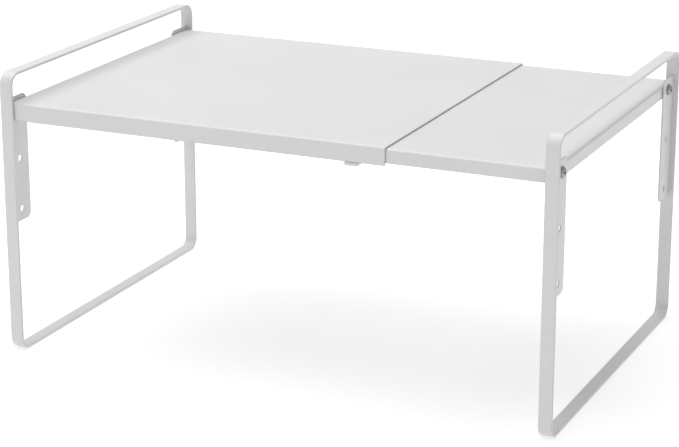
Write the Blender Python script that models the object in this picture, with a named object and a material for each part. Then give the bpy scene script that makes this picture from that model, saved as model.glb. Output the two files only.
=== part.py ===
# Expandable shelf riser in powder-coated steel.
# Two trays slide inside each other. Each hangs between the legs of a flat-bar end frame,
# screwed to punched bracket plates that are welded to the legs.
# X runs from the left frame to the right one, Y from front to back, Z up from the surface it stands on.

from math import cos, floor, pi, radians, sin, tau

import bmesh
import bpy

# Driving dimensions, in metres
SPAN = 0.430  # over both end frames, at the extension modelled
DEPTH = 0.280  # over the front and rear legs
HEIGHT = 0.214  # to the top of the rails
SHELF_TOP = 0.192  # top face of the outer tray
FIT_GAP = 0.0003  # between pieces that touch or slide on each other

BAR_WIDTH = 0.010  # flat bar of the end frames, across X
BAR_THICK = 0.002
BAR_BEND = 0.010  # outer radius of the four bends
BAR_EDGE = 0.0004  # rounding of the rolled bar's edges

SHEET = 0.001  # tray sheet
TRAY_SIDE_GAP = 0.0005  # outer tray's flange to the leg
TRAY_CORNER = 0.005  # upright corners at the closed end
TRAY_BEND = 0.002  # folded top edges
OUTER_LENGTH = 0.2992
OUTER_FLANGE = 0.013
INNER_LENGTH = 0.2956
INNER_FLANGE = 0.010

PLATE_THICK = 0.001  # bracket plates
PLATE_INSET = 0.004  # frame's outer side to the plate's outer face
PLATE_REACH = 0.0248  # inwards from the leg
PLATE_CORNER = 0.005
PLATE_MARGIN = 0.009  # from the end holes to the plate's ends
HOLE_PITCH = 0.039
HOLES_PER_PLATE = 3
HOLE_FROM_FRONT = 0.0156  # hole line to the frame's front or rear face
PLATE_HOLE = 0.0025
FLANGE_HOLE = 0.0024
SCREW_DROP = 0.0062  # screw line below the shelf top

SCREW_RADIUS = 0.002  # M4
SCREW_LENGTH = 0.008
HEAD_RADIUS = 0.004
HEAD_HEIGHT = 0.0026
HEAD_WALL = 0.0009  # straight rim of the head, below its dome
RECESS_SPAN = 0.0046  # cross recess, tip to tip
RECESS_WIDTH = 0.0010
RECESS_DEPTH = 0.0015
NUT_ACROSS_FLATS = 0.007
NUT_THICK = 0.0032
NUT_BORE = 0.0023

STRAP_WIDTH = 0.010
STRAP_THICK = 0.0025
STRAP_EDGE = 0.0006
STRAP_FROM_SEAM = 0.0205  # seam edge to the strap's near side
TAB_THICK = 0.0015  # stop tabs, folded strip under the inner tray
TAB_WIDTH = 0.020
TAB_BASE = 0.0105
TAB_HEIGHT = 0.0122
TAB_FROM_END = 0.001
TAB_FROM_MIDDLE = 0.060

BEND_STEPS = 10  # facets of each frame bend
CORNER_STEPS = 6
ROUND_STEPS = 24

half_span = SPAN / 2
half_depth = DEPTH / 2
screw_height = SHELF_TOP - SCREW_DROP
tray_end = PLATE_INSET + PLATE_THICK + FIT_GAP  # frame's outer side to the tray's end flange
outer_half_width = half_depth - BAR_THICK - TRAY_SIDE_GAP
inner_half_width = outer_half_width - SHEET - FIT_GAP
inner_top = SHELF_TOP - SHEET - FIT_GAP
seam_x = -half_span + tray_end + OUTER_LENGTH
hole_y = half_depth - HOLE_FROM_FRONT


def clear_scene():
    for old in list(bpy.data.objects):
        bpy.data.objects.remove(old, do_unlink=True)


def coat(name, color, roughness, metallic=0.0):
    """A Principled material of one colour."""
    made = bpy.data.materials.new(name)
    made.use_nodes = True
    shader = made.node_tree.nodes["Principled BSDF"]
    shader.inputs["Base Color"].default_value = (*color, 1.0)
    shader.inputs["Roughness"].default_value = roughness
    shader.inputs["Metallic"].default_value = metallic
    return made


def white_powder(piece_name):
    return coat(piece_name + "_white_powder_coat", (0.78, 0.78, 0.77), 0.42)


def zinc_plate(piece_name):
    return coat(piece_name + "_zinc_plated_steel", (0.56, 0.55, 0.53), 0.32, 1.0)


def arc(centre_u, centre_v, radius, start, end, steps):
    """Points on an arc from start to end, in radians, both ends included."""
    turns = [start + (end - start) * i / steps for i in range(steps + 1)]
    return [(centre_u + radius * cos(a), centre_v + radius * sin(a)) for a in turns]


def rounded_rectangle(low_u, high_u, low_v, high_v, radius, steps):
    """Anticlockwise outline with four equal arcs."""
    right, top = high_u - radius, high_v - radius
    left, bottom = low_u + radius, low_v + radius
    outline = arc(right, bottom, radius, -pi / 2, 0, steps)
    outline += arc(right, top, radius, 0, pi / 2, steps)
    outline += arc(left, top, radius, pi / 2, pi, steps)
    outline += arc(left, bottom, radius, pi, 3 * pi / 2, steps)
    return outline


def piece(name, vertices, faces, material):
    """A closed mesh object with its faces pointing out."""
    mesh = bpy.data.meshes.new(name)
    mesh.from_pydata(vertices, [], faces)
    work = bmesh.new()
    work.from_mesh(mesh)
    bmesh.ops.recalc_face_normals(work, faces=work.faces)
    work.to_mesh(mesh)
    work.free()
    mesh.shade_smooth()
    mesh.set_sharp_from_angle(angle=radians(35))
    made = bpy.data.objects.new(name, mesh)
    bpy.context.scene.collection.objects.link(made)
    if material:
        mesh.materials.append(material)
    return made


def prism(name, outline, low, high, material, along_y=False):
    """A YZ outline pushed along X from low to high, or an XZ outline pushed along Y."""
    count = len(outline)
    if along_y:
        vertices = [(u, t, z) for t in (low, high) for u, z in outline]
    else:
        vertices = [(t, u, z) for t in (low, high) for u, z in outline]
    faces = [tuple(range(count)), tuple(range(2 * count - 1, count - 1, -1))]
    for i in range(count):
        j = (i + 1) % count
        faces.append((i, j, count + j, count + i))
    return piece(name, vertices, faces, material)


def ring_prism(name, outer, inner, low_x, high_x, material):
    """A closed YZ band between two outlines with equal numbers of points, pushed along X."""
    count = len(outer)
    vertices = [(x, y, z) for x in (low_x, high_x) for line in (outer, inner) for y, z in line]
    faces = []
    for i in range(count):
        j = (i + 1) % count
        faces.append((i, j, count + j, count + i))
        faces.append((2 * count + i, 3 * count + i, 3 * count + j, 2 * count + j))
        faces.append((i, 2 * count + i, 2 * count + j, j))
        faces.append((count + i, count + j, 3 * count + j, 3 * count + i))
    return piece(name, vertices, faces, material)


def round_edges(target, width, steps=2):
    bevel = target.modifiers.new("edge_rounding", "BEVEL")
    bevel.width = width
    bevel.segments = steps
    bevel.limit_method = "ANGLE"
    bevel.angle_limit = radians(40)


def cut(target, cutter):
    """Subtracts cutter from target and keeps the cutter as a hidden guide."""
    cutter.hide_render = True
    cutter.display_type = "WIRE"
    difference = target.modifiers.new("cut", "BOOLEAN")
    difference.operation = "DIFFERENCE"
    difference.object = cutter


def drill_along_x(target, centre, radius, reach):
    outline = arc(centre[1], centre[2], radius, 0, tau, ROUND_STEPS)[:-1]
    drill = prism(target.name + "_drill", outline, centre[0] - reach, centre[0] + reach, None)
    cut(target, drill)


def turned(name, profile, material):
    """A solid turned about X from (x, radius) pairs. Its first and last points lie on the axis."""
    rings = profile[1:-1]
    vertices = [(profile[0][0], 0, 0)]
    for x, radius in rings:
        vertices += [(x, y, z) for y, z in arc(0, 0, radius, 0, tau, ROUND_STEPS)[:-1]]
    vertices.append((profile[-1][0], 0, 0))
    last = len(vertices) - 1
    faces = []
    for i in range(ROUND_STEPS):
        j = (i + 1) % ROUND_STEPS
        faces.append((0, 1 + j, 1 + i))
        for k in range(len(rings) - 1):
            a, b = 1 + k * ROUND_STEPS, 1 + (k + 1) * ROUND_STEPS
            faces.append((a + i, a + j, b + j, b + i))
        faces.append((last, last - ROUND_STEPS + i, last - ROUND_STEPS + j))
    return piece(name, vertices, faces, material)


def end_frame(side, sign):
    """Flat bar bent into a closed loop: base bar, two legs and the rail above the shelf."""
    name = side + "_end_frame"
    outer = rounded_rectangle(-half_depth, half_depth, 0, HEIGHT, BAR_BEND, BEND_STEPS)
    inner = rounded_rectangle(
        -half_depth + BAR_THICK, half_depth - BAR_THICK,
        BAR_THICK, HEIGHT - BAR_THICK, BAR_BEND - BAR_THICK, BEND_STEPS)
    edges = sorted((sign * half_span, sign * (half_span - BAR_WIDTH)))
    frame = ring_prism(name, outer, inner, edges[0], edges[1], white_powder(name))
    round_edges(frame, BAR_EDGE)
    return frame


def bracket(side, end, x_sign, y_sign):
    """Punched plate on the leg's inner face, with three height holes."""
    name = f"{side}_{end}_bracket"
    top = screw_height + PLATE_MARGIN
    bottom = screw_height - (HOLES_PER_PLATE - 1) * HOLE_PITCH - PLATE_MARGIN
    leg_edge = half_depth - BAR_THICK - FIT_GAP
    free_edge = leg_edge - PLATE_REACH
    centre = free_edge + PLATE_CORNER
    outline = [(leg_edge, bottom), (leg_edge, top)]
    outline += arc(centre, top - PLATE_CORNER, PLATE_CORNER, pi / 2, pi, CORNER_STEPS)
    outline += arc(centre, bottom + PLATE_CORNER, PLATE_CORNER, pi, 3 * pi / 2, CORNER_STEPS)
    outline = [(y_sign * y, z) for y, z in outline]
    faces_x = sorted(x_sign * (half_span - PLATE_INSET - t) for t in (0, PLATE_THICK))
    plate = prism(name, outline, faces_x[0], faces_x[1], white_powder(name))
    for i in range(HOLES_PER_PLATE):
        centre = (sum(faces_x) / 2, y_sign * hole_y, screw_height - i * HOLE_PITCH)
        drill_along_x(plate, centre, PLATE_HOLE, BAR_WIDTH)
    return plate


def tray_outline(inset, length, half_width):
    """Three sides of a tray in plan, from its open end round the closed end at x = 0."""
    radius = TRAY_CORNER - inset
    side = half_width - TRAY_CORNER
    line = [(length, -half_width + inset)]
    line += arc(TRAY_CORNER, -side, radius, -pi / 2, -pi, CORNER_STEPS)
    line += arc(TRAY_CORNER, side, radius, pi, pi / 2, CORNER_STEPS)
    line.append((length, half_width - inset))
    return line


def tray(name, length, half_width, flange):
    """Sheet with flanges folded down on three sides. Local x = 0 is the closed end, z = 0 the top."""
    turns = [radians(90) * i / CORNER_STEPS for i in range(CORNER_STEPS + 1)]
    levels = [(0, -flange)]
    levels += [(TRAY_BEND * (1 - cos(a)), -TRAY_BEND * (1 - sin(a))) for a in turns]
    vertices = []
    for inset, z in levels:
        vertices += [(x, y, z) for x, y in tray_outline(inset, length, half_width)]
    count = len(vertices) // len(levels)
    faces = []
    for k in range(len(levels) - 1):
        a, b = k * count, (k + 1) * count
        faces += [(a + i, b + i, b + i + 1, a + i + 1) for i in range(count - 1)]
    faces.append(tuple(range(len(vertices) - 1, len(vertices) - count - 1, -1)))
    made = piece(name, vertices, faces, white_powder(name))
    if made.data.polygons[-1].normal.z < 0:
        made.data.flip_normals()
    wall = made.modifiers.new("sheet", "SOLIDIFY")
    wall.thickness = SHEET
    wall.offset = -1
    wall.use_even_offset = True
    return made


def outer_tray():
    made = tray("outer_tray", OUTER_LENGTH, outer_half_width, OUTER_FLANGE)
    made.location = (-half_span + tray_end, 0, SHELF_TOP)
    for y in (-hole_y, hole_y):
        drill_along_x(made, (made.location.x, y, screw_height), FLANGE_HOLE, BAR_WIDTH)
    return made


def inner_tray():
    made = tray("inner_tray", INNER_LENGTH, inner_half_width, INNER_FLANGE)
    made.location = (half_span - tray_end, 0, inner_top)
    made.rotation_euler.z = pi
    for y in (-hole_y, hole_y):
        drill_along_x(made, (made.location.x, y, screw_height), FLANGE_HOLE, BAR_WIDTH)
    return made


def retaining_strap():
    """Flat bar welded across under the outer tray's flanges. It holds the inner tray up."""
    name = "retaining_strap"
    top = SHELF_TOP - OUTER_FLANGE - FIT_GAP
    reach = outer_half_width
    outline = [(-reach, top - STRAP_THICK), (reach, top - STRAP_THICK), (reach, top), (-reach, top)]
    low_x = seam_x - STRAP_FROM_SEAM - STRAP_WIDTH
    made = prism(name, outline, low_x, low_x + STRAP_WIDTH, white_powder(name))
    round_edges(made, STRAP_EDGE)
    return made


def stop_tab(end, y_sign):
    """Angle spot-welded under the inner tray's hidden end. Its leg meets the retaining strap
    at full extension, so that the trays can't pull apart."""
    name = end + "_stop_tab"
    left = half_span - tray_end - INNER_LENGTH + TAB_FROM_END
    right = left + TAB_BASE
    top = inner_top - SHEET - FIT_GAP
    outline = [(left, top), (left, top - TAB_THICK), (right - TAB_THICK, top - TAB_THICK)]
    outline += [(right - TAB_THICK, top - TAB_HEIGHT), (right, top - TAB_HEIGHT), (right, top)]
    sides = sorted(y_sign * (TAB_FROM_MIDDLE + t) for t in (0, TAB_WIDTH))
    return prism(name, outline, sides[0], sides[1], white_powder(name), along_y=True)


def cross_recess(name, face_x):
    """Plus-shaped cutter, sunk into the head from its crown."""
    arm, side = RECESS_SPAN / 2, RECESS_WIDTH / 2
    corners = [(arm, -side), (arm, side), (side, side), (side, arm)]
    outline = []
    for quarter in range(4):
        c, s = round(cos(quarter * pi / 2)), round(sin(quarter * pi / 2))
        outline += [(y * c - z * s, y * s + z * c) for y, z in corners[1:3]]
        outline.append((side * c - arm * s, side * s + arm * c))
    return prism(name + "_recess", outline, face_x - HEAD_HEIGHT, face_x + RECESS_DEPTH, None)


def screw(side, end, x_sign, y_sign):
    """M4 pan-head screw. Local x = 0 is under the head, and the shank runs to +x."""
    name = f"{side}_{end}_screw"
    dome = arc(0, 0, 1, pi, pi / 2, CORNER_STEPS)
    crown = -HEAD_HEIGHT
    profile = [(crown, 0)]
    profile += [(-HEAD_WALL + (HEAD_HEIGHT - HEAD_WALL) * x, HEAD_RADIUS * r) for x, r in dome[1:]]
    profile += [(0, HEAD_RADIUS), (0, SCREW_RADIUS)]
    profile += [(SCREW_LENGTH - SCREW_RADIUS / 4, SCREW_RADIUS)]
    profile += [(SCREW_LENGTH, SCREW_RADIUS * 3 / 4), (SCREW_LENGTH, 0)]
    made = turned(name, profile, zinc_plate(name))
    recess = cross_recess(name, crown)
    head_x = half_span - PLATE_INSET + FIT_GAP
    for turned_piece in (made, recess):
        turned_piece.location = (x_sign * head_x, y_sign * hole_y, screw_height)
        turned_piece.rotation_euler.z = pi if x_sign > 0 else 0
    cut(made, recess)
    return made


def hexagon_radius(angle):
    sector = angle + pi / 6 - floor((angle + pi / 6) / (pi / 3)) * (pi / 3)
    return NUT_ACROSS_FLATS / 2 / cos(sector - pi / 6)


def nut(side, end, x_sign, y_sign):
    """M4 hexagon nut on the inner face of the tray's end flange, one flat upwards."""
    name = f"{side}_{end}_nut"
    turns = [tau * i / ROUND_STEPS + pi / 2 for i in range(ROUND_STEPS)]
    centre_y = y_sign * hole_y
    outer, bore = [], []
    for a in turns:
        corner = hexagon_radius(a - pi / 2)
        outer.append((centre_y + corner * cos(a), screw_height + corner * sin(a)))
        bore.append((centre_y + NUT_BORE * cos(a), screw_height + NUT_BORE * sin(a)))
    seat = half_span - tray_end - SHEET - FIT_GAP
    faces_x = sorted((x_sign * seat, x_sign * (seat - NUT_THICK)))
    return ring_prism(name, outer, bore, faces_x[0], faces_x[1], zinc_plate(name))


def side_pieces(side, x_sign):
    """One end frame with its brackets, screws and nuts."""
    made = [end_frame(side, x_sign)]
    for end, y_sign in (("front", -1), ("rear", 1)):
        made.append(bracket(side, end, x_sign, y_sign))
        made.append(screw(side, end, x_sign, y_sign))
        made.append(nut(side, end, x_sign, y_sign))
    return made


def hang_on_slide(pieces):
    """The right-hand half slides along X on this empty."""
    slide = bpy.data.objects.new("width_slide", None)
    slide.location = (seam_x, 0, inner_top)
    bpy.context.scene.collection.objects.link(slide)
    bpy.context.view_layer.update()
    for moving in pieces:
        moving.parent = slide
        moving.matrix_parent_inverse = slide.matrix_world.inverted()


def build():
    clear_scene()
    side_pieces("left", -1)
    outer_tray()
    retaining_strap()
    moving = side_pieces("right", 1) + [inner_tray(), stop_tab("front", -1), stop_tab("rear", 1)]
    hang_on_slide(moving)


build()
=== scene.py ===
from math import cos, hypot, pi, radians, sin, tau

import bmesh
import bpy
from mathutils import Matrix, Vector


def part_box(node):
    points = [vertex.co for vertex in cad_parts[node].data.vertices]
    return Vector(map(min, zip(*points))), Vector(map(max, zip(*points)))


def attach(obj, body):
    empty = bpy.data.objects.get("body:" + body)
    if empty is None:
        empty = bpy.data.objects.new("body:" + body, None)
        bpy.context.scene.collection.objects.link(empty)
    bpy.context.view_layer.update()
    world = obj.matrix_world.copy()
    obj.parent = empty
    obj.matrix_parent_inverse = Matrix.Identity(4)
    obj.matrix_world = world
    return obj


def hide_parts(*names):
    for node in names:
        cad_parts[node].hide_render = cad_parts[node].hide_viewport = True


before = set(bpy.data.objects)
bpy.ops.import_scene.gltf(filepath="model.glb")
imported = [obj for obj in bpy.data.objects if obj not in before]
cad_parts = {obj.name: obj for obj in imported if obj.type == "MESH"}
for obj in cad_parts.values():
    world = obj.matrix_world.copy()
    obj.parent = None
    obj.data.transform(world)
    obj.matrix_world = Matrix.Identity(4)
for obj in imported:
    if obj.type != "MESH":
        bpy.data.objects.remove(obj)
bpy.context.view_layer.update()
scene = bpy.context.scene
mm = 0.001  # the pieces' sizes are given in millimetres
sides = {"left": -1, "right": 1}
bodyOf = {"left": "left_half", "right": "right_half"}


def toLinear(hexColour):
    channels = [int(hexColour[i:i + 2], 16) / 255 for i in (0, 2, 4)]
    linear = [c / 12.92 if c <= 0.04045 else ((c + 0.055) / 1.055) ** 2.4 for c in channels]
    return (*linear, 1.0)


def addNode(tree, kind, sockets=None, **fields):
    # sockets: input name or number -> a value, an output, or a node for its first output
    node = tree.nodes.new(kind)
    for field, value in fields.items():
        setattr(node, field, value)
    for key, value in (sockets or {}).items():
        if isinstance(value, bpy.types.Node):
            value = value.outputs[0]
        if isinstance(value, bpy.types.NodeSocket):
            tree.links.new(value, node.inputs[key])
        else:
            node.inputs[key].default_value = value
    return node


def linkToScene(name, mesh):
    made = bpy.data.objects.new(name, mesh)
    scene.collection.objects.link(made)
    return made


def applyAll(thing, name):
    # the evaluated object as a plain mesh, in a fresh object
    bpy.context.view_layer.update()
    evaluated = thing.evaluated_get(bpy.context.evaluated_depsgraph_get())
    mesh = bpy.data.meshes.new_from_object(evaluated)
    mesh.name = name
    bpy.data.objects.remove(thing)
    return linkToScene(name, mesh)


def faceOutward(thing):
    # turns a closed shell the right way round if its volume comes out negative
    work = bmesh.new()
    work.from_mesh(thing.data)
    if work.calc_volume(signed=True) < 0:
        bmesh.ops.reverse_faces(work, faces=work.faces)
        work.to_mesh(thing.data)
    work.free()


def evenShading(thing, name, sharpAngle=38):
    # big faces keep their own normal, so the small roundings don't bend the light on them
    thing.data.shade_smooth()
    thing.data.set_sharp_from_angle(angle=radians(sharpAngle))
    weighted = thing.modifiers.new("evenNormals", "WEIGHTED_NORMAL")
    weighted.keep_sharp = True
    return applyAll(thing, name)


def finishPiece(thing, body, slotName, *nodes):
    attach(thing, body)
    if nodes:
        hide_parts(*nodes)
    return thing


def meshFrom(vertices, faces, name):
    mesh = bpy.data.meshes.new(name)
    mesh.from_pydata(vertices, [], faces)
    mesh.update()
    return linkToScene(name, mesh)


def prismBetween(firstRing, lastRing, name):
    # a closed solid between two outlines with as many points each
    count = len(firstRing)
    faces = [tuple(range(count - 1, -1, -1)), tuple(range(count, 2 * count))]
    faces += [(i, (i + 1) % count, count + (i + 1) % count, count + i) for i in range(count)]
    solid = meshFrom([*firstRing, *lastRing], faces, name)
    faceOutward(solid)
    return solid


def arcPoints(centreU, centreV, radius, start, end, steps):
    turns = [radians(start + (end - start) * i / steps) for i in range(steps + 1)]
    return [(centreU + radius * cos(a), centreV + radius * sin(a)) for a in turns]


def satinPowderCoat(name, look):
    # baked polyester powder: an even satin film with a faint orange peel and a soft sheen
    made = bpy.data.materials.new(name)
    made.use_nodes = True
    tree = made.node_tree
    shader = tree.nodes["Principled BSDF"]
    place = addNode(tree, "ShaderNodeTexCoord").outputs["Object"]

    # cloudy tone where the film is thicker or thinner, tens of millimetres across
    cloud = addNode(tree, "ShaderNodeTexNoise", {
        "Vector": place, "Scale": 1 / (look["cloudSize"] * mm), "Detail": 2.0, "Roughness": 0.45})
    tone = addNode(tree, "ShaderNodeMix", {
        0: cloud.outputs["Fac"], 6: toLinear(look["thinTone"]), 7: toLinear(look["thickTone"])},
        data_type="RGBA")
    # single grains that melted late, drawn at twice their size so that they show
    grain = addNode(tree, "ShaderNodeTexVoronoi", {
        "Vector": place, "Scale": 1 / (look["grainSize"] * mm)})
    speck = addNode(tree, "ShaderNodeMapRange", {
        "Value": grain.outputs["Distance"], "From Min": 0.0, "From Max": 0.22,
        "To Min": look["grainTone"], "To Max": 0.0})
    speckled = addNode(tree, "ShaderNodeMix", {
        0: speck.outputs["Result"], 6: tone.outputs[2], 7: toLinear(look["speckTone"])},
        data_type="RGBA")
    # the film draws back from sharp edges, so they read a little slicker; their colour is pulled towards a
    # grey here as painted shade along the rims and bar edges
    solidness = addNode(tree, "ShaderNodeAmbientOcclusion", {"Distance": look["edgeReach"] * mm},
                        inside=True, only_local=True, samples=8)
    edge = addNode(tree, "ShaderNodeMapRange", {
        "Value": solidness.outputs["AO"], "From Min": 0.95, "From Max": 0.55,
        "To Min": 0.0, "To Max": look["edgeShare"]})
    edgeShaded = addNode(tree, "ShaderNodeMix", {
        0: edge.outputs["Result"], 6: speckled.outputs[2], 7: toLinear(look["edgeShadeTone"])},
        data_type="RGBA")
    tree.links.new(edgeShaded.outputs[2], shader.inputs["Base Color"])

    # gloss: cloudy, with rub marks along the way the trays slide
    perMetre = (1 / (look["rubLength"] * mm), 1 / (look["rubWidth"] * mm), 1 / (look["rubWidth"] * mm))
    stretched = addNode(tree, "ShaderNodeMapping", {"Vector": place, "Scale": perMetre})
    rub = addNode(tree, "ShaderNodeTexNoise", {
        "Vector": stretched.outputs["Vector"], "Scale": 1.0, "Detail": 3.0, "Roughness": 0.6})
    rubbed = addNode(tree, "ShaderNodeMapRange", {
        "Value": rub.outputs["Fac"], "From Min": 0.58, "From Max": 0.72,
        "To Min": 0.0, "To Max": look["rubGloss"]})
    cloudGloss = addNode(tree, "ShaderNodeMapRange", {
        "Value": cloud.outputs["Fac"], "From Min": 0.3, "From Max": 0.7,
        "To Min": look["roughness"] - look["cloudGloss"],
        "To Max": look["roughness"] + look["cloudGloss"]})
    gloss = addNode(tree, "ShaderNodeMath", {
        0: cloudGloss.outputs["Result"], 1: rubbed.outputs["Result"]}, operation="SUBTRACT")
    edgeGloss = addNode(tree, "ShaderNodeMath", {
        0: edge.outputs["Result"], 1: -look["edgePolish"], 2: gloss.outputs["Value"]},
        operation="MULTIPLY_ADD")
    tree.links.new(edgeGloss.outputs["Value"], shader.inputs["Roughness"])

    # orange peel over the slight waves that rolling leaves in the steel
    peel = addNode(tree, "ShaderNodeTexNoise", {
        "Vector": place, "Scale": 1 / (look["peelSize"] * mm), "Detail": 1.5, "Roughness": 0.4})
    peelBump = addNode(tree, "ShaderNodeBump", {
        "Height": peel.outputs["Fac"], "Strength": 1.0, "Distance": look["peelHeight"] * mm})
    wave = addNode(tree, "ShaderNodeTexNoise", {
        "Vector": place, "Scale": 1 / (look["waveSize"] * mm), "Detail": 0.0})
    waveBump = addNode(tree, "ShaderNodeBump", {
        "Height": wave.outputs["Fac"], "Strength": 1.0, "Distance": look["waveHeight"] * mm,
        "Normal": peelBump.outputs["Normal"]})
    tree.links.new(waveBump.outputs["Normal"], shader.inputs["Normal"])
    shader.inputs["IOR"].default_value = 1.52
    shader.inputs["Metallic"].default_value = 0.0
    return made


def zincPlate(name, look):
    # clear-passivated zinc over a cold-headed blank: bright, slightly blotched and finely pitted
    made = bpy.data.materials.new(name)
    made.use_nodes = True
    tree = made.node_tree
    shader = tree.nodes["Principled BSDF"]
    place = addNode(tree, "ShaderNodeTexCoord").outputs["Object"]
    blotch = addNode(tree, "ShaderNodeTexNoise", {
        "Vector": place, "Scale": 1 / (look["blotchSize"] * mm), "Detail": 4.0, "Roughness": 0.6})
    tone = addNode(tree, "ShaderNodeMix", {
        0: blotch.outputs["Fac"], 6: toLinear(look["darkTone"]), 7: toLinear(look["brightTone"])},
        data_type="RGBA")
    # painted shade, near black, and dull plating down in the cross, between the threads and in the nut's
    # bore
    depth = addNode(tree, "ShaderNodeAttribute", attribute_name="recessShadeAndDull", attribute_type="GEOMETRY")
    recessShaded = addNode(tree, "ShaderNodeMix", {
        0: depth.outputs["Fac"], 6: tone.outputs[2], 7: toLinear(look["recessShadeTone"])},
        data_type="RGBA")
    tree.links.new(recessShaded.outputs[2], shader.inputs["Base Color"])
    dull = addNode(tree, "ShaderNodeMapRange", {
        "Value": blotch.outputs["Fac"], "From Min": 0.3, "From Max": 0.7,
        "To Min": look["roughness"] - 0.05, "To Max": look["roughness"] + 0.08})
    duller = addNode(tree, "ShaderNodeMath", {
        0: depth.outputs["Fac"], 1: look["hollowDull"], 2: dull.outputs["Result"]},
        operation="MULTIPLY_ADD")
    tree.links.new(duller.outputs["Value"], shader.inputs["Roughness"])
    pits = addNode(tree, "ShaderNodeTexNoise", {
        "Vector": place, "Scale": 1 / (look["pitSize"] * mm), "Detail": 2.0})
    bump = addNode(tree, "ShaderNodeBump", {
        "Height": pits.outputs["Fac"], "Strength": 1.0, "Distance": look["pitDepth"] * mm})
    tree.links.new(bump.outputs["Normal"], shader.inputs["Normal"])
    shader.inputs["Metallic"].default_value = 1.0
    return made


# the edge tone is the grey painted as shade along rims and bar edges
barLook = {"thinTone": "d1d1d2", "thickTone": "d7d7d8", "speckTone": "c8c8c8", "edgeShadeTone": "8c8c8c",
           "cloudSize": 35, "grainSize": 1.1, "grainTone": 0.35, "edgeReach": 0.7, "edgeShare": 0.7,
           "edgePolish": 0.08, "roughness": 0.38, "cloudGloss": 0.03, "rubGloss": 0.0,
           "rubLength": 143, "rubWidth": 1.11, "peelSize": 1.7, "peelHeight": 0.035,
           "waveSize": 30, "waveHeight": 0.03}
sheetLook = dict(barLook, thinTone="d1d1d2", thickTone="d6d6d7", cloudSize=70, roughness=0.34,
                 rubGloss=0.02, waveSize=90, waveHeight=0.12)
slidingLook = dict(sheetLook, rubGloss=0.035)
# the hollow tone is the near-black painted as shade in the cross, thread roots and bore
screwLook = {"darkTone": "8a8781", "brightTone": "bab6af", "recessShadeTone": "0c0b09", "hollowDull": 0.35,
             "blotchSize": 1.8, "roughness": 0.30, "pitSize": 0.25, "pitDepth": 0.004}
nutLook = dict(screwLook, darkTone="8b8c8e", brightTone="c2c4c6", roughness=0.34)

coatedBar = satinPowderCoat("satinPowderCoatOnFlatBar", barLook)
coatedSheet = satinPowderCoat("satinPowderCoatOnSheet", sheetLook)
coatedSlidingSheet = satinPowderCoat("satinPowderCoatRubbedBySliding", slidingLook)
platedScrew = zincPlate("zincPlatedColdHeadedSteel", screwLook)
platedNut = zincPlate("zincPlatedNutSteel", nutLook)
print("materials ready")


socketKinds = {float: "NodeSocketFloat", int: "NodeSocketInt", Vector: "NodeSocketVector",
               bpy.types.Object: "NodeSocketObject", bpy.types.Material: "NodeSocketMaterial"}


def newTree(name, inputs):
    # inputs: name -> type; gives the tree and the outputs of its Group Input node
    tree = bpy.data.node_groups.new(name, "GeometryNodeTree")
    tree.interface.new_socket("Geometry", in_out="OUTPUT", socket_type="NodeSocketGeometry")
    for label, kind in inputs.items():
        tree.interface.new_socket(label, in_out="INPUT", socket_type=socketKinds[kind])
    return tree, addNode(tree, "NodeGroupInput").outputs


def closeTree(tree, geometry, material):
    realized = addNode(tree, "GeometryNodeRealizeInstances", {"Geometry": geometry})
    painted = addNode(tree, "GeometryNodeSetMaterial", {
        "Geometry": realized.outputs["Geometry"], "Material": material})
    addNode(tree, "NodeGroupOutput", {"Geometry": painted.outputs["Geometry"]})


def growFrom(tree, name, values):
    # runs a tree on an empty mesh and hands back its plain result
    holder = linkToScene(name + "Holder", bpy.data.meshes.new(name + "Holder"))
    modifier = holder.modifiers.new(name, "NODES")
    modifier.node_group = tree
    for item in tree.interface.items_tree:
        if item.in_out == "INPUT":
            modifier[item.identifier] = values[item.name]
    return applyAll(holder, name)


# end frames: flat bar bent into a loop
frameLook = {"bendRadius": 10.0, "barThickness": 2.0, "edgeRadius": 0.45, "stepLength": 1.0}


def barLoopTree():
    tree, given = newTree("bentBarLoop", {
        "Depth": float, "Height": float, "Bend Radius": float, "Bar Width": float,
        "Bar Thickness": float, "Edge Radius": float, "Step Length": float, "Across": float,
        "Material": bpy.types.Material})
    # the path runs along the middle of the bar's thickness
    pathDepth = addNode(tree, "ShaderNodeMath", {0: given["Depth"], 1: given["Bar Thickness"]},
                        operation="SUBTRACT")
    pathHeight = addNode(tree, "ShaderNodeMath", {0: given["Height"], 1: given["Bar Thickness"]},
                         operation="SUBTRACT")
    halfBar = addNode(tree, "ShaderNodeMath", {0: given["Bar Thickness"], 1: 2.0}, operation="DIVIDE")
    pathRadius = addNode(tree, "ShaderNodeMath", {0: given["Bend Radius"], 1: halfBar},
                         operation="SUBTRACT")
    loop = addNode(tree, "GeometryNodeCurvePrimitiveQuadrilateral", {
        "Width": pathDepth, "Height": pathHeight})
    bent = addNode(tree, "GeometryNodeFilletCurve", {
        "Curve": loop.outputs["Curve"], "Count": 40, "Radius": pathRadius}, mode="POLY")
    stepped = addNode(tree, "GeometryNodeResampleCurve", {
        "Curve": bent.outputs["Curve"], "Length": given["Step Length"]}, mode="LENGTH")
    halfHeight = addNode(tree, "ShaderNodeMath", {0: given["Height"], 1: 2.0}, operation="DIVIDE")
    spot = addNode(tree, "ShaderNodeCombineXYZ", {"X": given["Across"], "Z": halfHeight})
    stood = addNode(tree, "GeometryNodeTransform", {
        "Geometry": stepped.outputs["Curve"], "Translation": spot.outputs["Vector"],
        "Rotation": (pi / 2, 0, pi / 2)})
    section = addNode(tree, "GeometryNodeCurvePrimitiveQuadrilateral", {
        "Width": given["Bar Width"], "Height": given["Bar Thickness"]})
    eased = addNode(tree, "GeometryNodeFilletCurve", {
        "Curve": section.outputs["Curve"], "Count": 4, "Radius": given["Edge Radius"]}, mode="POLY")
    swept = addNode(tree, "GeometryNodeCurveToMesh", {
        "Curve": stood.outputs["Geometry"], "Profile Curve": eased.outputs["Curve"]})
    closeTree(tree, swept.outputs["Mesh"], given["Material"])
    return tree


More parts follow.
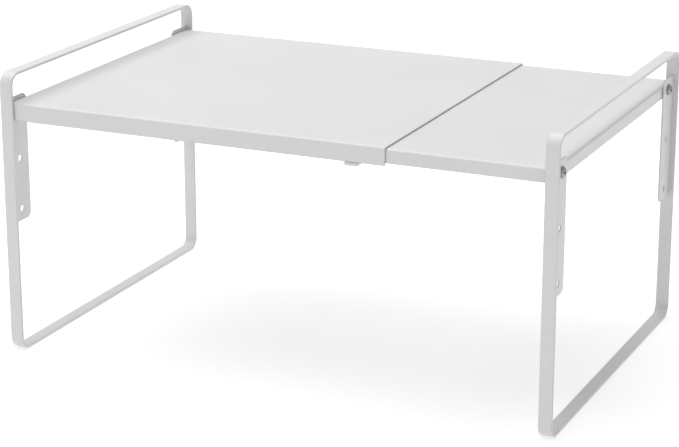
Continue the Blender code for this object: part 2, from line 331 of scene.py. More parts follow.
def makeEndFrames():
    tree = barLoopTree()
    for side in sides:
        low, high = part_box(side + "_end_frame")
        name = side + "EndFrame"
        loop = growFrom(tree, name + "Loop", {
            "Depth": high.y - low.y, "Height": high.z - low.z, "Across": (low.x + high.x) / 2,
            "Bar Width": high.x - low.x, "Bar Thickness": frameLook["barThickness"] * mm,
            "Bend Radius": frameLook["bendRadius"] * mm, "Edge Radius": frameLook["edgeRadius"] * mm,
            "Step Length": frameLook["stepLength"] * mm, "Material": coatedBar})
        faceOutward(loop)
        loop = evenShading(loop, name)
        finishPiece(loop, bodyOf[side], "frame_powder_coat", side + "_end_frame")
        print(name, "done,", len(loop.data.polygons), "faces")


makeEndFrames()


# bracket plates, punched for three heights
plateLook = {"corner": 5.0, "holeRadius": 2.5, "holeCount": 3, "holePitch": 39.0, "edgeRadius": 0.22,
             "intoLeg": 0.4, "holeInset": 13.3}  # hole line from the plate's leg edge


def punchedPlateTree():
    # one plate flat in XY: it reaches to -x from the leg's face on x = 0, plus the overlap into the leg
    tree, given = newTree("punchedPlate", {
        "Reach": float, "Drop": float, "Thickness": float, "Corner": float, "Hole Radius": float,
        "Hole Count": int, "Hole Pitch": float, "Hole Inset": float, "First Hole": float,
        "Overlap": float, "Material": bpy.types.Material})
    # the blank is twice as wide as needed, so that only the two free corners stay rounded
    blankWidth = addNode(tree, "ShaderNodeMath", {0: given["Reach"], 1: 2.0}, operation="MULTIPLY")
    blank = addNode(tree, "GeometryNodeCurvePrimitiveQuadrilateral", {
        "Width": blankWidth, "Height": given["Drop"]})
    cornered = addNode(tree, "GeometryNodeFilletCurve", {
        "Curve": blank.outputs["Curve"], "Count": 14, "Radius": given["Corner"]}, mode="POLY")
    sheet = addNode(tree, "GeometryNodeFillCurve", {"Curve": cornered.outputs["Curve"]}, mode="NGONS")
    thick = addNode(tree, "GeometryNodeExtrudeMesh", {
        "Mesh": sheet.outputs["Mesh"], "Offset Scale": given["Thickness"]}, mode="FACES")
    back = addNode(tree, "GeometryNodeFlipFaces", {"Mesh": sheet.outputs["Mesh"]})
    both = addNode(tree, "GeometryNodeJoinGeometry")
    tree.links.new(thick.outputs["Mesh"], both.inputs["Geometry"])
    tree.links.new(back.outputs["Mesh"], both.inputs["Geometry"])
    solid = addNode(tree, "GeometryNodeMergeByDistance", {
        "Geometry": both.outputs["Geometry"], "Distance": 0.01 * mm})
    # punches on the hole line, and one broad cutter that takes off the half beyond the leg
    holeLine = addNode(tree, "ShaderNodeMath", {0: given["Hole Inset"], 1: -1.0}, operation="MULTIPLY")
    halfDrop = addNode(tree, "ShaderNodeMath", {0: given["Drop"], 1: 2.0}, operation="DIVIDE")
    topHole = addNode(tree, "ShaderNodeMath", {0: halfDrop, 1: given["First Hole"]},
                      operation="SUBTRACT")
    downward = addNode(tree, "ShaderNodeMath", {0: given["Hole Pitch"], 1: -1.0}, operation="MULTIPLY")
    line = addNode(tree, "GeometryNodeMeshLine", {
        "Count": given["Hole Count"],
        "Start Location": addNode(tree, "ShaderNodeCombineXYZ", {"X": holeLine, "Y": topHole}),
        "Offset": addNode(tree, "ShaderNodeCombineXYZ", {"Y": downward})})
    through = addNode(tree, "ShaderNodeMath", {0: given["Thickness"], 1: 6.0}, operation="MULTIPLY")
    punch = addNode(tree, "GeometryNodeMeshCylinder", {
        "Vertices": 40, "Radius": given["Hole Radius"], "Depth": through})
    punches = addNode(tree, "GeometryNodeInstanceOnPoints", {
        "Points": line.outputs["Mesh"], "Instance": punch.outputs["Mesh"]})
    trimHeight = addNode(tree, "ShaderNodeMath", {0: given["Drop"], 1: 2.0}, operation="MULTIPLY")
    trimSize = addNode(tree, "ShaderNodeCombineXYZ", {"X": blankWidth, "Y": trimHeight, "Z": through})
    trim = addNode(tree, "GeometryNodeMeshCube", {"Size": trimSize})
    trimPlace = addNode(tree, "ShaderNodeMath", {0: given["Reach"], 1: given["Overlap"]})
    trimAway = addNode(tree, "GeometryNodeTransform", {
        "Geometry": trim.outputs["Mesh"],
        "Translation": addNode(tree, "ShaderNodeCombineXYZ", {"X": trimPlace})})
    cutters = addNode(tree, "GeometryNodeJoinGeometry")
    tree.links.new(punches.outputs["Instances"], cutters.inputs["Geometry"])
    tree.links.new(trimAway.outputs["Geometry"], cutters.inputs["Geometry"])
    punched = addNode(tree, "GeometryNodeMeshBoolean", {
        "Mesh 1": solid.outputs["Geometry"], "Mesh 2": cutters.outputs["Geometry"]},
        operation="DIFFERENCE", solver="EXACT")
    closeTree(tree, punched.outputs["Mesh"], given["Material"])
    return tree


def makeBrackets():
    tree = punchedPlateTree()
    screwLow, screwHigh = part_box("left_front_screw")
    for side in sides:
        plates = []
        for end, ySign in (("front", -1), ("rear", 1)):
            low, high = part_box(f"{side}_{end}_bracket")
            plate = growFrom(tree, "plate", {
                "Reach": high.y - low.y, "Drop": high.z - low.z, "Thickness": high.x - low.x,
                "Corner": plateLook["corner"] * mm, "Hole Radius": plateLook["holeRadius"] * mm,
                "Hole Count": plateLook["holeCount"], "Hole Pitch": plateLook["holePitch"] * mm,
                "Hole Inset": plateLook["holeInset"] * mm, "Overlap": plateLook["intoLeg"] * mm,
                "First Hole": high.z - (screwLow.z + screwHigh.z) / 2, "Material": coatedBar})
            legEdge = high.y if ySign > 0 else low.y
            # from the plate's own space (x to the leg, y up, z through) to the object's
            turn = Matrix(((0, 0, 1), (ySign, 0, 0), (0, 1, 0))).to_4x4()
            spot = Matrix.Translation((low.x, legEdge, (low.z + high.z) / 2))
            plate.data.transform(spot @ turn)
            plates.append(plate)
        joined = joinPieces(plates, side + "Plates")
        faceOutward(joined)
        edges = joined.modifiers.new("punchedEdges", "BEVEL")
        edges.width = plateLook["edgeRadius"] * mm
        edges.segments = 3
        edges.limit_method = "ANGLE"
        edges.angle_limit = radians(50)
        joined = evenShading(joined, side + "Brackets")
        finishPiece(joined, bodyOf[side], "frame_powder_coat",
                    side + "_front_bracket", side + "_rear_bracket")
        print(joined.name, "done,", len(joined.data.polygons), "faces")


def joinPieces(things, name):
    work = bmesh.new()
    for thing in things:
        other = thing.data.copy()
        other.transform(thing.matrix_world)
        piece = bmesh.new()
        piece.from_mesh(other)
        bmesh.ops.recalc_face_normals(piece, faces=piece.faces)  # the front plate was mirrored
        piece.to_mesh(other)
        piece.free()
        work.from_mesh(other)
    mesh = bpy.data.meshes.new(name)
    work.to_mesh(mesh)
    work.free()
    for material in things[0].data.materials:
        mesh.materials.append(material)
    for thing in things:
        bpy.data.objects.remove(thing)
    return linkToScene(name, mesh)


makeBrackets()


# weld beads, in the coat's own colour
beadLook = {"plateRadius": 0.75, "plateLength": 9.0, "plateBeads": 3, "platePitch": 38.0,
            "plateLift": 0.25, "strapRadius": 0.6, "strapLength": 3.2, "strapSpread": 5.2,
            "strapInset": 1.2, "strapLift": 0.15, "ripples": 11, "rippleHeight": 0.16}


def beadTree():
    # a row of short rippled beads, repeated at the four corners of a flat grid
    tree, given = newTree("stitchWeld", {
        "Centre": Vector, "Grid Width": float, "Grid Depth": float, "Beads": int, "Bead Step": Vector,
        "Half Bead": Vector, "Radius": float, "Ripples": int, "Ripple Height": float,
        "Material": bpy.types.Material})
    toStart = addNode(tree, "ShaderNodeVectorMath", {0: given["Half Bead"], 3: -1.0}, operation="SCALE")
    line = addNode(tree, "GeometryNodeCurvePrimitiveLine", {
        "Start": toStart.outputs["Vector"], "End": given["Half Bead"]})
    stepped = addNode(tree, "GeometryNodeResampleCurve", {"Curve": line.outputs["Curve"], "Count": 45},
                      mode="COUNT")
    along = addNode(tree, "GeometryNodeSplineParameter").outputs["Factor"]
    # nearly round ends: the square root of 1.02 - (2t - 1)^8
    centred = addNode(tree, "ShaderNodeMath", {0: along, 1: 2.0, 2: -1.0}, operation="MULTIPLY_ADD")
    squared = addNode(tree, "ShaderNodeMath", {0: centred, 1: centred}, operation="MULTIPLY")
    steep = addNode(tree, "ShaderNodeMath", {0: squared, 1: 4.0}, operation="POWER")
    room = addNode(tree, "ShaderNodeMath", {0: 1.02, 1: steep}, operation="SUBTRACT")
    ends = addNode(tree, "ShaderNodeMath", {0: room, 1: 0.5}, operation="POWER")
    halfTurns = addNode(tree, "ShaderNodeMath", {0: along, 1: pi}, operation="MULTIPLY")
    phase = addNode(tree, "ShaderNodeMath", {0: halfTurns, 1: given["Ripples"]}, operation="MULTIPLY")
    wave = addNode(tree, "ShaderNodeMath", {0: phase}, operation="SINE")
    crest = addNode(tree, "ShaderNodeMath", {0: wave}, operation="ABSOLUTE")
    ripple = addNode(tree, "ShaderNodeMath", {0: crest, 1: given["Ripple Height"], 2: 1.0},
                     operation="MULTIPLY_ADD")
    swell = addNode(tree, "ShaderNodeMath", {0: ends, 1: ripple}, operation="MULTIPLY")
    ring = addNode(tree, "GeometryNodeCurvePrimitiveCircle", {"Resolution": 14, "Radius": given["Radius"]})
    bead = addNode(tree, "GeometryNodeCurveToMesh", {
        "Curve": stepped.outputs["Curve"], "Profile Curve": ring.outputs["Curve"], "Scale": swell,
        "Fill Caps": True})
    gaps = addNode(tree, "ShaderNodeMath", {0: given["Beads"], 1: 1.0}, operation="SUBTRACT")
    halfRow = addNode(tree, "ShaderNodeMath", {0: gaps, 1: -0.5}, operation="MULTIPLY")
    rowStart = addNode(tree, "ShaderNodeVectorMath", {0: given["Bead Step"], 3: halfRow},
                       operation="SCALE")
    row = addNode(tree, "GeometryNodeMeshLine", {
        "Count": given["Beads"], "Start Location": rowStart, "Offset": given["Bead Step"]})
    beads = addNode(tree, "GeometryNodeInstanceOnPoints", {
        "Points": row.outputs["Mesh"], "Instance": bead.outputs["Mesh"]})
    corners = addNode(tree, "GeometryNodeMeshGrid", {
        "Size X": given["Grid Width"], "Size Y": given["Grid Depth"], "Vertices X": 2, "Vertices Y": 2})
    rows = addNode(tree, "GeometryNodeInstanceOnPoints", {
        "Points": corners.outputs["Mesh"], "Instance": beads.outputs["Instances"]})
    placed = addNode(tree, "GeometryNodeTransform", {
        "Geometry": rows.outputs["Instances"], "Translation": given["Centre"]})
    closeTree(tree, placed.outputs["Geometry"], given["Material"])
    return tree


def makeWelds():
    tree = beadTree()
    shared = {"Ripples": beadLook["ripples"], "Ripple Height": beadLook["rippleHeight"]}
    for side in sides:
        low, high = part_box(side + "_front_bracket")
        legFace = abs(low.y) + beadLook["plateLift"] * mm
        beads = growFrom(tree, side + "PlateWelds", dict(shared, **{
            "Centre": ((low.x + high.x) / 2, 0, (low.z + high.z) / 2),
            "Grid Width": high.x - low.x, "Grid Depth": 2 * legFace,
            "Beads": beadLook["plateBeads"], "Bead Step": (0, 0, beadLook["platePitch"] * mm),
            "Half Bead": (0, 0, beadLook["plateLength"] / 2 * mm),
            "Radius": beadLook["plateRadius"] * mm, "Material": coatedBar}))
        faceOutward(beads)
        beads.data.shade_smooth()
        finishPiece(beads, bodyOf[side], "frame_powder_coat")
    low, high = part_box("retaining_strap")
    inFlange = abs(low.y) - beadLook["strapInset"] * mm
    beads = growFrom(tree, "strapWelds", dict(shared, **{
        "Centre": ((low.x + high.x) / 2, 0, high.z + beadLook["strapLift"] * mm),
        "Grid Width": beadLook["strapSpread"] * mm, "Grid Depth": 2 * inFlange,
        "Beads": 1, "Bead Step": (0, 0, 0),
        "Half Bead": (beadLook["strapLength"] / 2 * mm, 0, 0),
        "Radius": beadLook["strapRadius"] * mm, "Material": coatedSheet}))
    faceOutward(beads)
    beads.data.shade_smooth()
    finishPiece(beads, "left_half", "tray_powder_coat")
    print("welds done")


makeWelds()


# trays: sheet with flanges folded down on three sides
# the loops are extra rows of points that keep the shading flat beside a rim or a bend
trayLook = {"sheet": 1.0, "bendRadius": 2.0, "cornerRadius": 5.0, "bendSteps": 10, "cornerSteps": 14,
            "rimRadius": 0.28, "holeRadius": 2.4, "drillDepth": 8.0,
            "endLoop": 0.4, "lipLoop": 0.6, "bendLoop": 0.3, "topLoop": 0.4}


def trayOutline(length, halfWidth, inset, cornerRadius):
    # along one side from the open end, round the closed end at x = 0 and back along the other
    radius = max(cornerRadius - inset, 0.0)
    steps = trayLook["cornerSteps"]
    nearEnd = length - trayLook["endLoop"] * mm
    line = [(length, -halfWidth + inset), (nearEnd, -halfWidth + inset)]
    line += arcPoints(cornerRadius, -halfWidth + cornerRadius, radius, -90, -180, steps)
    line += arcPoints(cornerRadius, halfWidth - cornerRadius, radius, 180, 90, steps)
    line += [(nearEnd, halfWidth - inset), (length, halfWidth - inset)]
    return line


def foldedTray(node, name, material, openEnd):
    # openEnd: 1 where the open end faces +x, -1 where it faces -x
    low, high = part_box(node)
    length, halfWidth, drop = high.x - low.x, (high.y - low.y) / 2, high.z - low.z
    bend, corner = trayLook["bendRadius"] * mm, trayLook["cornerRadius"] * mm
    steps = trayLook["bendSteps"]
    levels = [(0.0, -drop), (0.0, -drop + trayLook["lipLoop"] * mm),
              (0.0, -bend - trayLook["bendLoop"] * mm)]
    levels += [(bend * (1 - cos(pi / 2 * i / steps)), -bend * (1 - sin(pi / 2 * i / steps)))
               for i in range(steps + 1)]
    levels.append((bend + trayLook["topLoop"] * mm, 0.0))
    vertices = []
    for inset, z in levels:
        vertices += [(x, y, z) for x, y in trayOutline(length, halfWidth, inset, corner)]
    count = len(vertices) // len(levels)
    faces = []
    for k in range(len(levels) - 1):
        a, b = k * count, (k + 1) * count
        faces += [(a + i, b + i, b + i + 1, a + i + 1) for i in range(count - 1)]
    faces.append(tuple(range(len(vertices) - 1, len(vertices) - count - 1, -1)))
    tray = meshFrom(vertices, faces, name + "Fold")
    if tray.data.polygons[-1].normal.z < 0:
        tray.data.flip_normals()
    tray.data.materials.append(material)
    if openEnd > 0:
        place = Matrix.Translation((low.x, 0, high.z))
    else:
        place = Matrix.Translation((high.x, 0, high.z)) @ Matrix.Rotation(pi, 4, "Z")
    tray.data.transform(place)
    wall = tray.modifiers.new("sheet", "SOLIDIFY")
    wall.thickness = trayLook["sheet"] * mm
    wall.offset = -1
    wall.use_even_offset = True
    rim = tray.modifiers.new("rim", "BEVEL")
    rim.width = trayLook["rimRadius"] * mm
    rim.segments = 3
    rim.limit_method = "ANGLE"
    rim.angle_limit = radians(55)
    tray = applyAll(tray, name + "Rim")

    # clearance holes for the screws, in the closed end's flange
    closedX = low.x if openEnd > 0 else high.x
    screwLow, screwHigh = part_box("left_front_screw")
    holeZ, holeY = (screwLow.z + screwHigh.z) / 2, (screwLow.y + screwHigh.y) / 2
    holeRadius = trayLook["holeRadius"] * mm
    drill = bmesh.new()
    for y in (-holeY, holeY):
        spot = Matrix.Translation((closedX, y, holeZ)) @ Matrix.Rotation(pi / 2, 4, "Y")
        bmesh.ops.create_cone(drill, cap_ends=True, segments=32, radius1=holeRadius,
                              radius2=holeRadius, depth=trayLook["drillDepth"] * mm, matrix=spot)
    drillMesh = bpy.data.meshes.new("drill")
    drill.to_mesh(drillMesh)
    drill.free()
    drillObject = linkToScene("drill", drillMesh)
    cut = tray.modifiers.new("screwHoles", "BOOLEAN")
    cut.operation = "DIFFERENCE"
    cut.object = drillObject
    tray = applyAll(tray, name + "Drilled")
    bpy.data.objects.remove(drillObject)
    tray = evenShading(tray, name)
    return tray


outerTray = foldedTray("outer_tray", "outerTray", coatedSheet, 1)
finishPiece(outerTray, "left_half", "tray_powder_coat", "outer_tray")
innerTray = foldedTray("inner_tray", "innerTray", coatedSlidingSheet, -1)
finishPiece(innerTray, "right_half", "tray_powder_coat", "inner_tray")
print("trays done")


# strap and stop tabs under the trays
strapLook = {"edgeRadius": 0.6, "edgeSteps": 5}
tabLook = {"thickness": 1.5, "bendRadius": 2.2, "bendSteps": 8, "edgeRadius": 0.25}


def roundedBox(low, high, radius, steps, name):
    # a bar between two corners with every edge rounded
    work = bmesh.new()
    size = high - low
    place = Matrix.Translation((low + high) / 2) @ Matrix.Diagonal((*size, 1))
    bmesh.ops.create_cube(work, size=1.0, matrix=place)
    mesh = bpy.data.meshes.new(name)
    work.to_mesh(mesh)
    work.free()
    bar = linkToScene(name, mesh)
    edges = bar.modifiers.new("edges", "BEVEL")
    edges.width = radius
    edges.segments = steps
    return bar


def makeStrap():
    low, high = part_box("retaining_strap")
    strap = roundedBox(low, high, strapLook["edgeRadius"] * mm, strapLook["edgeSteps"], "strapBar")
    strap.data.materials.append(coatedSheet)
    strap = evenShading(strap, "retainingStrap")
    finishPiece(strap, "left_half", "tray_powder_coat", "retaining_strap")


def makeStopTab(end):
    node = end + "_stop_tab"
    low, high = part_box(node)
    wall, bend = tabLook["thickness"] * mm, tabLook["bendRadius"] * mm
    steps = tabLook["bendSteps"]
    # base along the top, leg down at its right end, one bend between them
    line = [(low.x, high.z - wall), (low.x, high.z)]
    line += arcPoints(high.x - bend, high.z - bend, bend, 90, 0, steps)
    line += [(high.x, low.z), (high.x - wall, low.z)]
    line += arcPoints(high.x - bend, high.z - bend, bend - wall, 0, 90, steps)
    nearRing = [(x, low.y, z) for x, z in line]
    farRing = [(x, high.y, z) for x, z in line]
    tab = prismBetween(nearRing, farRing, end + "TabStrip")
    tab.data.materials.append(coatedSheet)
    edges = tab.modifiers.new("edges", "BEVEL")
    edges.width = tabLook["edgeRadius"] * mm
    edges.segments = 3
    edges.limit_method = "ANGLE"
    edges.angle_limit = radians(50)
    tab = evenShading(tab, end + "StopTab")
    finishPiece(tab, "right_half", "tray_powder_coat", node)


makeStrap()
makeStopTab("front")
makeStopTab("rear")
print("strap and tabs done")


# screws and nuts
screwShape = {"headRadius": 4.0, "headHeight": 2.6, "rimHeight": 0.9, "crownRows": 12,
              "underRounding": 0.18, "underStep": 0.05, "shankRadius": 2.0, "shankLength": 8.0,
              "threadDepth": 0.38, "threadPitch": 0.7, "plainLength": 0.5, "fadeLength": 0.6,
              "tipLength": 0.5, "tipDepth": 0.45, "turnSteps": 48, "rowsPerPitch": 6,
              "crossSpan": 5.4, "crossWidth": 1.45, "crossDepth": 1.95, "crossTaper": 0.55,
              # the last entry is the share of painted shade in the thread roots
              "crossAbove": 0.4, "crossSkin": 0.12, "rootShade": 0.6}
nutShape = {"acrossFlats": 7.0, "thickness": 3.2, "chamfer": 0.45, "chamferHeight": 0.28,
            # the bore's last entry on the next line is its share of painted shade
            "chamferMiddle": (0.08, 0.14), "boreRadius": 2.04, "boreChamfer": 0.25, "boreShade": 0.7,
            "turnSteps": 72}


def turnedSolid(rows, steps, name):
    # rows: (x, radius function of the turn in radians); the ends close on the axis
    vertices = [(rows[0][0], 0, 0)]
    for x, radiusAt in rows:
        for i in range(steps):
            a = tau * i / steps
            r = radiusAt(a)
            vertices.append((x, r * cos(a), r * sin(a)))
    vertices.append((rows[-1][0], 0, 0))
    last = len(vertices) - 1
    faces = []
    for i in range(steps):
        j = (i + 1) % steps
        faces.append((0, 1 + j, 1 + i))
        for k in range(len(rows) - 1):
            a, b = 1 + k * steps, 1 + (k + 1) * steps
            faces.append((a + i, a + j, b + j, b + i))
        faces.append((last, last - steps + i, last - steps + j))
    solid = meshFrom(vertices, faces, name)
    faceOutward(solid)
    return solid


def domeRadius(x):
    # the head's outline: straight rim, then a quarter ellipse up to the crown at x = -headHeight
    rim, height = screwShape["rimHeight"] * mm, screwShape["headHeight"] * mm
    if x >= -rim:
        return screwShape["headRadius"] * mm
    rise = min((-x - rim) / (height - rim), 1.0)
    return screwShape["headRadius"] * mm * (1 - rise ** 2) ** 0.5


def masterScrew():
    # pan head on -x, shank to +x, with a rolled thread
    s = screwShape
    height, rim = s["headHeight"] * mm, s["rimHeight"] * mm
    rows = []
    for i in range(1, s["crownRows"] + 1):
        x = -rim - (height - rim) * cos(pi / 2 * i / s["crownRows"])
        rows.append((x, lambda a, r=domeRadius(x): r))
    edge, rounding, step = s["headRadius"] * mm, s["underRounding"] * mm, s["underStep"] * mm
    rows += [(-rounding, lambda a: edge), (-step, lambda a: edge - step),
             (0.0, lambda a: edge - rounding), (0.0, lambda a: s["shankRadius"] * mm)]
    pitch, crest, length = s["threadPitch"] * mm, s["shankRadius"] * mm, s["shankLength"] * mm
    plain, tipLength = s["plainLength"] * mm, s["tipLength"] * mm
    rowCount = int(length / pitch * s["rowsPerPitch"])
    for i in range(1, rowCount + 1):
        x = length * i / rowCount
        fade = min(1.0, max(0.0, x - plain) / (s["fadeLength"] * mm))
        tip = max(0.0, (x - length + tipLength) / tipLength) * s["tipDepth"] * mm

        def threadAt(a, x=x, fade=fade, tip=tip):
            phase = (x / pitch - a / tau) % 1.0
            valley = 1 - abs(2 * phase - 1)  # 0 at the crest, 1 in the root
            return min(crest - s["threadDepth"] * mm * fade * valley, crest - tip)

        rows.append((x, threadAt))
    screw = turnedSolid(rows, s["turnSteps"], "screwBlank")

    cutter = crossCutter()
    cut = screw.modifiers.new("cross", "BOOLEAN")
    cut.operation = "DIFFERENCE"
    cut.object = cutter
    screw = applyAll(screw, "screwMaster")
    bpy.data.objects.remove(cutter)
    markRecessShade(screw)
    screw.data.shade_smooth()
    screw.data.set_sharp_from_angle(angle=radians(40))
    return screw


def crossOutline(x, arm, half):
    # a plus sign across the axis: two tip corners and one inner corner for each wing
    points = []
    for quarter in range(4):
        turn = Matrix.Rotation(quarter * pi / 2, 3, "X")
        points += [turn @ Vector((x, reach, across))
                   for reach, across in ((arm, -half), (arm, half), (half, half))]
    return points


def crossCutter():
    # driver cross whose wings narrow towards a blunt point
    s = screwShape
    arm, half, taper = s["crossSpan"] / 2 * mm, s["crossWidth"] / 2 * mm, s["crossTaper"]
    mouth = crossOutline(-(s["headHeight"] + s["crossAbove"]) * mm, arm, half)
    floor = crossOutline((s["crossDepth"] - s["headHeight"]) * mm, arm * taper, half * (1 + taper) / 2)
    return prismBetween(mouth, floor, "crossCutter")


def markRecessShade(screw):
    # painted shade mask: 1 down in the cross, 0 on the open faces, rising to a set share in the thread
    # roots
    s = screwShape
    crossReach, skin = s["crossSpan"] / 2 * mm, s["crossSkin"] * mm
    shank, depth = s["shankRadius"] * mm, s["threadDepth"] * mm
    values = []
    for vertex in screw.data.vertices:
        x, away = vertex.co.x, hypot(vertex.co.y, vertex.co.z)
        value = 0.0
        if x < 0 and away < crossReach and away < domeRadius(x) - skin:
            value = 1.0
        elif x > 0:
            value = s["rootShade"] * min(1.0, (shank - away) / depth)
        values.append(max(0.0, value))
    recessShadeAndDull = screw.data.attributes.new("recessShadeAndDull", "FLOAT", "POINT")
    recessShadeAndDull.data.foreach_set("value", values)


def masterNut():
    # hexagon with both faces chamfered by a cone, bored through along x
    n = nutShape
    half, flat = n["thickness"] / 2 * mm, n["acrossFlats"] / 2 * mm
    corner = flat / cos(pi / 6)
    steps = n["turnSteps"]
    faceRadius = corner - n["chamfer"] * mm

    def hexAt(a):
        sector = (a + pi / 6) % (pi / 3) - pi / 6
        return flat / cos(sector)

    down, out = (value * mm for value in n["chamferMiddle"])
    chamfer = [(half, faceRadius), (half - down, faceRadius + out),
               (half - n["chamferHeight"] * mm, corner)]
    rows = [(-x, limit) for x, limit in chamfer] + chamfer[::-1]
    bore, sink = n["boreRadius"] * mm, n["boreChamfer"] * mm
    boreRows = [(half, bore + sink), (half - sink, bore), (-half + sink, bore), (-half, bore + sink)]
    vertices = []
    for x, limit in rows:
        for i in range(steps):
            a = tau * i / steps
            r = min(hexAt(a), limit)
            vertices.append((x, r * cos(a), r * sin(a)))
    for x, r in boreRows:
        vertices += [(x, r * cos(tau * i / steps), r * sin(tau * i / steps)) for i in range(steps)]
    ringCount = len(rows) + len(boreRows)
    faces = []
    for k in range(ringCount):
        a, b = k * steps, (k + 1) % ringCount * steps
        faces += [(a + i, a + (i + 1) % steps, b + (i + 1) % steps, b + i) for i in range(steps)]
    nut = meshFrom(vertices, faces, "nutMaster")
    faceOutward(nut)
    # the bore takes a share of the painted shade in the zinc material
    recessShadeAndDull = nut.data.attributes.new("recessShadeAndDull", "FLOAT", "POINT")
    recessShadeValues = [0.0] * (len(rows) * steps) + [n["boreShade"]] * (len(boreRows) * steps)
    recessShadeAndDull.data.foreach_set("value", recessShadeValues)
    nut.data.shade_smooth()
    nut.data.set_sharp_from_angle(angle=radians(25))
    return nut


def fastenerPairTree():
    # the same fastener at the front and rear holes, each stopped at its own angle
    tree, given = newTree("fastenerPair", {
        "Fastener": bpy.types.Object, "Across": float, "Spread": float, "Height": float,
        "Facing": float, "Seed": int, "Most Turn": float, "Material": bpy.types.Material})
    toFront = addNode(tree, "ShaderNodeMath", {0: given["Spread"], 1: -0.5}, operation="MULTIPLY")
    front = addNode(tree, "ShaderNodeCombineXYZ", {
        "X": given["Across"], "Y": toFront, "Z": given["Height"]})
    toRear = addNode(tree, "ShaderNodeCombineXYZ", {"Y": given["Spread"]})
    line = addNode(tree, "GeometryNodeMeshLine", {
        "Count": 2, "Start Location": front, "Offset": toRear})
    spin = addNode(tree, "FunctionNodeRandomValue", {
        2: 0.0, 3: given["Most Turn"], "Seed": given["Seed"]})
    turn = addNode(tree, "ShaderNodeCombineXYZ", {"X": spin.outputs[1], "Z": given["Facing"]})
    source = addNode(tree, "GeometryNodeObjectInfo", {"Object": given["Fastener"]})
    placed = addNode(tree, "GeometryNodeInstanceOnPoints", {
        "Points": line.outputs["Mesh"], "Instance": source.outputs["Geometry"],
        "Rotation": turn.outputs["Vector"]})
    closeTree(tree, placed.outputs["Instances"], given["Material"])
    return tree


def makeFasteners():
    tree = fastenerPairTree()
    screw, nut = masterScrew(), masterNut()
    for side, sign in sides.items():
        frontLow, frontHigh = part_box(side + "_front_screw")
        rearLow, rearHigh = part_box(side + "_rear_screw")
        spread = (rearLow.y + rearHigh.y - frontLow.y - frontHigh.y) / 2
        height = (frontLow.z + frontHigh.z) / 2
        headPlane = max(abs(frontLow.x), abs(frontHigh.x)) - screwShape["headHeight"] * mm
        nutLow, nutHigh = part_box(side + "_front_nut")
        common = {"Spread": spread, "Height": height, "Facing": pi if sign > 0 else 0.0}
        screws = growFrom(tree, side + "Screws", dict(common, **{
            "Fastener": screw, "Across": sign * headPlane, "Seed": 4 + sign, "Most Turn": tau,
            "Material": platedScrew}))
        finishPiece(screws, bodyOf[side], "fastener_steel",
                    side + "_front_screw", side + "_rear_screw")
        nuts = growFrom(tree, side + "Nuts", dict(common, **{
            "Fastener": nut, "Across": (nutLow.x + nutHigh.x) / 2, "Seed": 9 + sign, "Most Turn": 0.0,
            "Material": platedNut}))
        finishPiece(nuts, bodyOf[side], "fastener_steel", side + "_front_nut", side + "_rear_nut")
        faceCount = len(screws.data.polygons) + len(nuts.data.polygons)
        print(side, "fasteners done,", faceCount, "faces")
    bpy.data.objects.remove(screw)
    bpy.data.objects.remove(nut)


makeFasteners()


# stage, lamps and camera: the floor's size and the lamps in metres, the rest in millimetres
stageLook = {"floorTone": "d0d0d0", "floorGlow": 0.5, "floorSize": 12.0, "floorGap": 0.15}
lampLook = {
    "overhead": {"place": (-0.45, 0.2, 1.9), "aim": (0, 0, 0.1), "size": (2.6, 2.2), "power": 44},
    "rightHigh": {"place": (1.9, -0.2, 1.5), "aim": (0, 0, 0.1), "size": (1.3, 1.6), "power": 3},
    "frontHigh": {"place": (-0.3, -1.9, 2.0), "aim": (0, 0, 0.1), "size": (1.4, 0.7), "power": 5},
    "frontLow": {"place": (-0.9, -2.2, 0.8), "aim": (0, 0, 0.1), "size": (1.8, 1.2), "power": 1.5},
}
worldLook = {"tone": "ffffff", "horizon": 0.74, "zenith": 0.12}  # bright all round, dim straight up
cameraLook = {"aim": (-3.1, -7.5, 89.2), "distance": 1674.0, "turn": 24.37, "tilt": 17.40,
              "lens": 117.0, "sensor": 36.0}


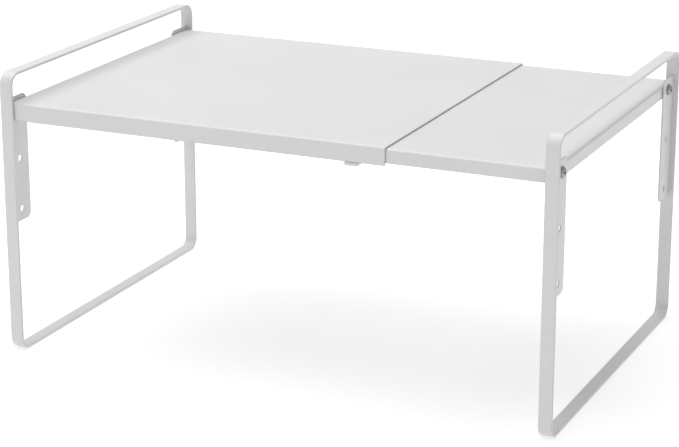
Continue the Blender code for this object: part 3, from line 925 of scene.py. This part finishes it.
def makeStage():
    half = stageLook["floorSize"] / 2
    level = -stageLook["floorGap"] * mm
    corners = [(x, y, level) for x, y in ((-half, -half), (half, -half), (half, half), (-half, half))]
    floor = meshFrom(corners, [(0, 1, 2, 3)], "paleFloor")
    paint = bpy.data.materials.new("paleFloorPaint")
    paint.use_nodes = True
    shader = paint.node_tree.nodes["Principled BSDF"]
    shader.inputs["Base Color"].default_value = toLinear(stageLook["floorTone"])
    shader.inputs["Roughness"].default_value = 0.9
    shader.inputs["Specular IOR Level"].default_value = 0.0
    shader.inputs["Emission Color"].default_value = (1, 1, 1, 1)
    shader.inputs["Emission Strength"].default_value = stageLook["floorGlow"]
    floor.data.materials.append(paint)

    world = bpy.data.worlds.new("softRoom")
    world.use_nodes = True
    tree = world.node_tree
    background = tree.nodes["Background"]
    background.inputs["Color"].default_value = toLinear(worldLook["tone"])
    direction = addNode(tree, "ShaderNodeTexCoord").outputs["Generated"]
    upward = addNode(tree, "ShaderNodeSeparateXYZ", {0: direction})
    brightness = addNode(tree, "ShaderNodeMapRange", {
        "Value": upward.outputs["Z"], "From Min": 0.0, "From Max": 1.0,
        "To Min": worldLook["horizon"], "To Max": worldLook["zenith"]})
    tree.links.new(brightness.outputs["Result"], background.inputs["Strength"])
    scene.world = world

    for name, look in lampLook.items():
        lamp = bpy.data.lights.new(name, "AREA")
        lamp.shape = "RECTANGLE"
        lamp.size, lamp.size_y = look["size"]
        lamp.energy = look["power"]
        holder = bpy.data.objects.new(name, lamp)
        holder.location = look["place"]
        toward = Vector(look["aim"]) - Vector(look["place"])
        holder.rotation_euler = toward.to_track_quat("-Z", "Y").to_euler()
        scene.collection.objects.link(holder)


def makeCamera():
    look = cameraLook
    turn, tilt = radians(look["turn"]), radians(look["tilt"])
    forward = Vector((-sin(turn) * cos(tilt), cos(turn) * cos(tilt), -sin(tilt)))
    data = bpy.data.cameras.new("productCamera")
    data.lens = look["lens"]
    data.sensor_width = look["sensor"]
    data.clip_end = 50
    camera = bpy.data.objects.new("productCamera", data)
    camera.location = Vector(look["aim"]) * mm - forward * look["distance"] * mm
    camera.rotation_euler = forward.to_track_quat("-Z", "Y").to_euler()
    scene.collection.objects.link(camera)
    scene.camera = camera


makeStage()
makeCamera()
scene.view_settings.view_transform = "Standard"
print("stage ready")
